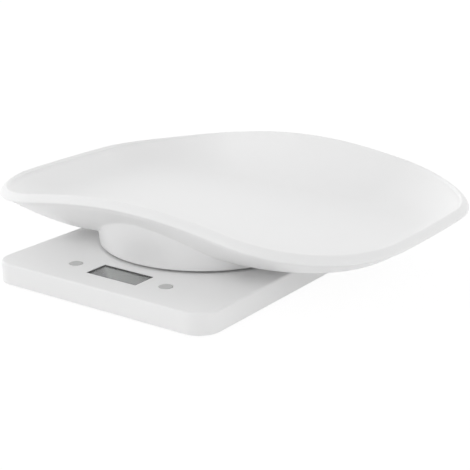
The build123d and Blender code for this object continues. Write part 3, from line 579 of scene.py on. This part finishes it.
def dishLevel(x, spread):
    base = tray["bottom"] + tray["bowlBase"] + tray["wall"]
    level = bowlLevel(x, spread, base, tray["lipStep"], tray["dishPower"])
    return raised(level, tray["floor"] + tray["wall"], tray["dishBlend"])


def trayPoint(angle, radius, z):
    return (radius * math.cos(angle), tray["middleY"] + radius * math.sin(angle), z)


def underLevelAt(x, y):
    # Height of the underside over any place, from the frame's own coordinates
    localY = y - tray["middleY"]
    angle = math.atan2(localY, x)
    return undersideLevel(x, math.hypot(x, localY) / reachAt(angle, 0))


def makeTrayShell():
    angles = turnAngles(tray["turns"])
    innerReach = [reachAt(a, tray["lipWidth"]) for a in angles]
    outerReach = [reachAt(a, 0) for a in angles]
    hangReach = [reachAt(a, tray["lipHang"]) for a in angles]
    rings = []
    for k in range(1, tray["dishRings"] + 1):
        spread = (k / tray["dishRings"]) ** tray["dishSpacing"]
        rings.append([
            trayPoint(a, spread * r, dishLevel(spread * r * math.cos(a), spread))
            for a, r in zip(angles, innerReach)
        ])
    for inset, rise in tray["lipSection"]:
        edge = [(a, reachAt(a, inset)) for a in angles]
        rings.append([trayPoint(a, r, rimLevel(r * math.cos(a)) + rise) for a, r in edge])
    for k in range(tray["underRings"], 0, -1):
        share = (k / tray["underRings"]) ** tray["underSpacing"]
        rings.append([
            trayPoint(a, share * h, undersideLevel(share * h * math.cos(a), share * h / r))
            for a, h, r in zip(angles, hangReach, outerReach)
        ])
    return joinRings(rings, closeStart=True, closeEnd=True)


# Pedestal wall under the bowl, and inside it the ring that locates the tray on the platform, with its ribs
hub = {
    "middleY": -13.55, "radius": 62.4, "bottom": 14.6, "wall": 2.0, "draft": 4.0, "edge": 0.35,
    "junction": 0.9, "junctionShare": 0.6, "junctionSteps": 6, "turns": 240,
    # How far the open ends of the two faces go into the bowl's wall: outwards, up
    "innerRoot": (1.2, 1.0), "outerRoot": (0.6, 1.2),
    "ringInner": 50.3, "ringWall": 1.6, "ringBottom": 18.0, "ringTurns": 160, "rootDepth": 1.0,
    "ribs": 8, "ribStart": 22.0, "ribWall": 1.6, "ribBottom": 19.4, "ribOverlap": 0.2,
}


def hubPoint(angle, radius, z):
    return (radius * math.cos(angle), hub["middleY"] + radius * math.sin(angle), z)


def wallRadius(z):
    # The pedestal widens upwards by its draft
    return hub["radius"] + math.tan(math.radians(hub["draft"])) * (z - hub["bottom"])


def wallSection(angle):
    # Inner face, flat lower edge, outer face and the small soft junction with the underside
    def underside(radius):
        return underLevelAt(*hubPoint(angle, radius, 0)[:2])

    bottom, edge, radius = hub["bottom"], hub["edge"], hub["radius"]
    inner = radius - hub["wall"]
    top = lastBelow(bottom, tray["rimHeight"], lambda z: z < underside(wallRadius(z)))
    blend = min(hub["junction"], (top - bottom) * hub["junctionShare"])
    corner = Vector((wallRadius(top), top))
    below = Vector((wallRadius(top - blend), top - blend))
    beyond = Vector((corner.x + blend, underside(corner.x + blend)))
    section = [
        (inner + hub["innerRoot"][0], top + hub["innerRoot"][1]),
        (inner, bottom + edge), (inner + edge, bottom), (radius - edge, bottom), (radius, bottom + edge),
    ]
    for k in range(hub["junctionSteps"] + 1):
        t = k / hub["junctionSteps"]
        section.append(tuple(below * (1 - t) ** 2 + corner * 2 * t * (1 - t) + beyond * t**2))
    section.append((beyond.x + hub["outerRoot"][0], beyond.y + hub["outerRoot"][1]))
    return section


def makePedestal():
    columns = [[hubPoint(a, *place) for place in wallSection(a)] for a in turnAngles(hub["turns"])]
    return joinRings([list(ring) for ring in zip(*columns)])


def makeRib(angle, top):
    # A straight wall that runs outwards from near the middle into the ring
    c, s = math.cos(angle), math.sin(angle)
    start, end, half = hub["ribStart"], hub["ringInner"] + hub["ribOverlap"], hub["ribWall"] / 2
    corners = [
        (along * c - across * s, hub["middleY"] + along * s + across * c, z)
        for z in (hub["ribBottom"], top)
        for along, across in ((start, -half), (end, -half), (end, half), (start, half))
    ]
    return corners, [(3, 2, 1, 0), (4, 5, 6, 7), (0, 1, 5, 4), (1, 2, 6, 5), (2, 3, 7, 6), (3, 0, 4, 7)]


def makeRingAndRibs():
    top = tray["floor"] + hub["rootDepth"]
    inner, outer = hub["ringInner"], hub["ringInner"] + hub["ringWall"]
    section = [(outer, top), (outer, hub["ringBottom"]), (inner, hub["ringBottom"]), (inner, top)]
    rings = [[hubPoint(a, *place) for a in turnAngles(hub["ringTurns"])] for place in section]
    return mergePieces([joinRings(rings)] + [makeRib(a, top) for a in turnAngles(hub["ribs"])])


trayShell = buildMesh("trayShell", *makeTrayShell())
trayPedestal = buildMesh("trayPedestal", *makePedestal())
trayRibs = buildMesh("trayRibs", *makeRingAndRibs(), smooth=False)
for piece in (trayShell, trayPedestal, trayRibs):
    piece.data.materials.append(materials["trayWhite"])
    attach(piece, "tray")
    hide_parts("tray")
print("tray built")

# Studio: a white light tent round the scale, a light table under it and the photograph's camera
studio = {
    "skyBase": 0.16, "cameraWhite": 1.0,
    "floorTone": 0.8, "floorGlow": 0.05, "floorWhite": 0.88, "whiteLevel": 1.06, "floorReach": 6000,
    # Soft boxes of the tent: turn from the front towards the right and height in degrees, strength
    "boxes": [
        (35, 10, 0.09), (80, 10, 0.9), (125, 10, 1.04), (215, 10, 0.68), (260, 10, 0.93), (305, 10, 1.2),
        (350, 10, 0.76), (170, 45, 0.34), (260, 45, 0.48),
    ],
    "boxFocus": 4.0,
    "lens": 89.19, "target": (-0.00973, 0.03191, 0.0012), "back": (0.54714, -0.77723, 0.31073),
    "distance": 0.741,
}


def shownRays(tree):
    # The rays that see the plain white background: those of the camera, of reflections and through glass
    rays = tree.nodes.new("ShaderNodeLightPath")
    mirrored = mathNode(tree, "ADD", rays.outputs["Is Camera Ray"], rays.outputs["Is Glossy Ray"], clamp=True)
    return mathNode(tree, "ADD", mirrored, rays.outputs["Is Transmission Ray"], clamp=True)


def mixShaders(tree, factor, first, second):
    mix = tree.nodes.new("ShaderNodeMixShader")
    for socket, value in zip(mix.inputs, (factor, first, second)):
        tree.links.new(value, socket)
    return mix.outputs[0]


def makeFloor():
    reach = studio["floorReach"]
    corners = [(-reach, -reach, 0), (reach, -reach, 0), (reach, reach, 0), (-reach, reach, 0)]
    floor = buildMesh("studioFloor", corners, [(0, 1, 2, 3)], smooth=False)
    material, tree, shader = newMaterial("floorWhite")
    shader.inputs["Base Color"].default_value = (*grey(studio["floorTone"]), 1)
    shader.inputs["Roughness"].default_value = 0.9
    # The light table glows a little for every ray, and reads as white to the camera
    shader.inputs["Emission Color"].default_value = (1, 1, 1, 1)
    shader.inputs["Emission Strength"].default_value = studio["floorGlow"]
    white = tree.nodes.new("ShaderNodeEmission")
    white.inputs["Strength"].default_value = studio["whiteLevel"]
    seenShare = mathNode(tree, "MULTIPLY", shownRays(tree), studio["floorWhite"])
    table = mixShaders(tree, seenShare, shader.outputs[0], white.outputs[0])
    # From below it is clear, so that the underside of the scale can be looked at
    clear = tree.nodes.new("ShaderNodeBsdfTransparent")
    fromBelow = tree.nodes.new("ShaderNodeNewGeometry").outputs["Backfacing"]
    surface = mixShaders(tree, fromBelow, table, clear.outputs[0])
    tree.links.new(surface, tree.nodes["Material Output"].inputs["Surface"])
    floor.data.materials.append(material)


def boxLight(tree, direction, turn, height, power):
    # One soft box: brightest straight at it, and falling off to the sides
    across, up = math.radians(turn), math.radians(height)
    dot = tree.nodes.new("ShaderNodeVectorMath")
    dot.operation = "DOT_PRODUCT"
    tree.links.new(direction, dot.inputs[0])
    dot.inputs[1].default_value = (
        math.sin(across) * math.cos(up), -math.cos(across) * math.cos(up), math.sin(up)
    )
    facing = mathNode(tree, "MAXIMUM", dot.outputs["Value"], 0.0)
    return mathNode(tree, "MULTIPLY", mathNode(tree, "POWER", facing, studio["boxFocus"]), power)


def makeWorld():
    world = bpy.data.worlds.new("studioWhite")
    bpy.context.scene.world = world
    world.use_nodes = True
    tree = world.node_tree
    direction = tree.nodes.new("ShaderNodeTexCoord").outputs["Generated"]
    strength = studio["skyBase"]
    for box in studio["boxes"]:
        strength = mathNode(tree, "ADD", boxLight(tree, direction, *box), strength)
    tent = tree.nodes["Background"]
    tent.inputs["Color"].default_value = (1, 1, 1, 1)
    tree.links.new(strength, tent.inputs["Strength"])
    seen = tree.nodes.new("ShaderNodeBackground")
    seen.inputs["Color"].default_value = (1, 1, 1, 1)
    seen.inputs["Strength"].default_value = studio["cameraWhite"]
    surface = mixShaders(tree, shownRays(tree), tent.outputs[0], seen.outputs[0])
    tree.links.new(surface, tree.nodes["World Output"].inputs["Surface"])


def makeCamera():
    cameraData = bpy.data.cameras.new("photoCamera")
    cameraData.lens = studio["lens"]
    cameraData.sensor_width = 36
    camera = bpy.data.objects.new("photoCamera", cameraData)
    back = Vector(studio["back"])
    camera.location = Vector(studio["target"]) + back.normalized() * studio["distance"]
    camera.rotation_euler = (-back).to_track_quat("-Z", "Y").to_euler()
    bpy.context.scene.collection.objects.link(camera)
    bpy.context.scene.camera = camera
    bpy.context.scene.view_settings.view_transform = "Standard"


makeFloor()
makeWorld()
makeCamera()
print("studio built")
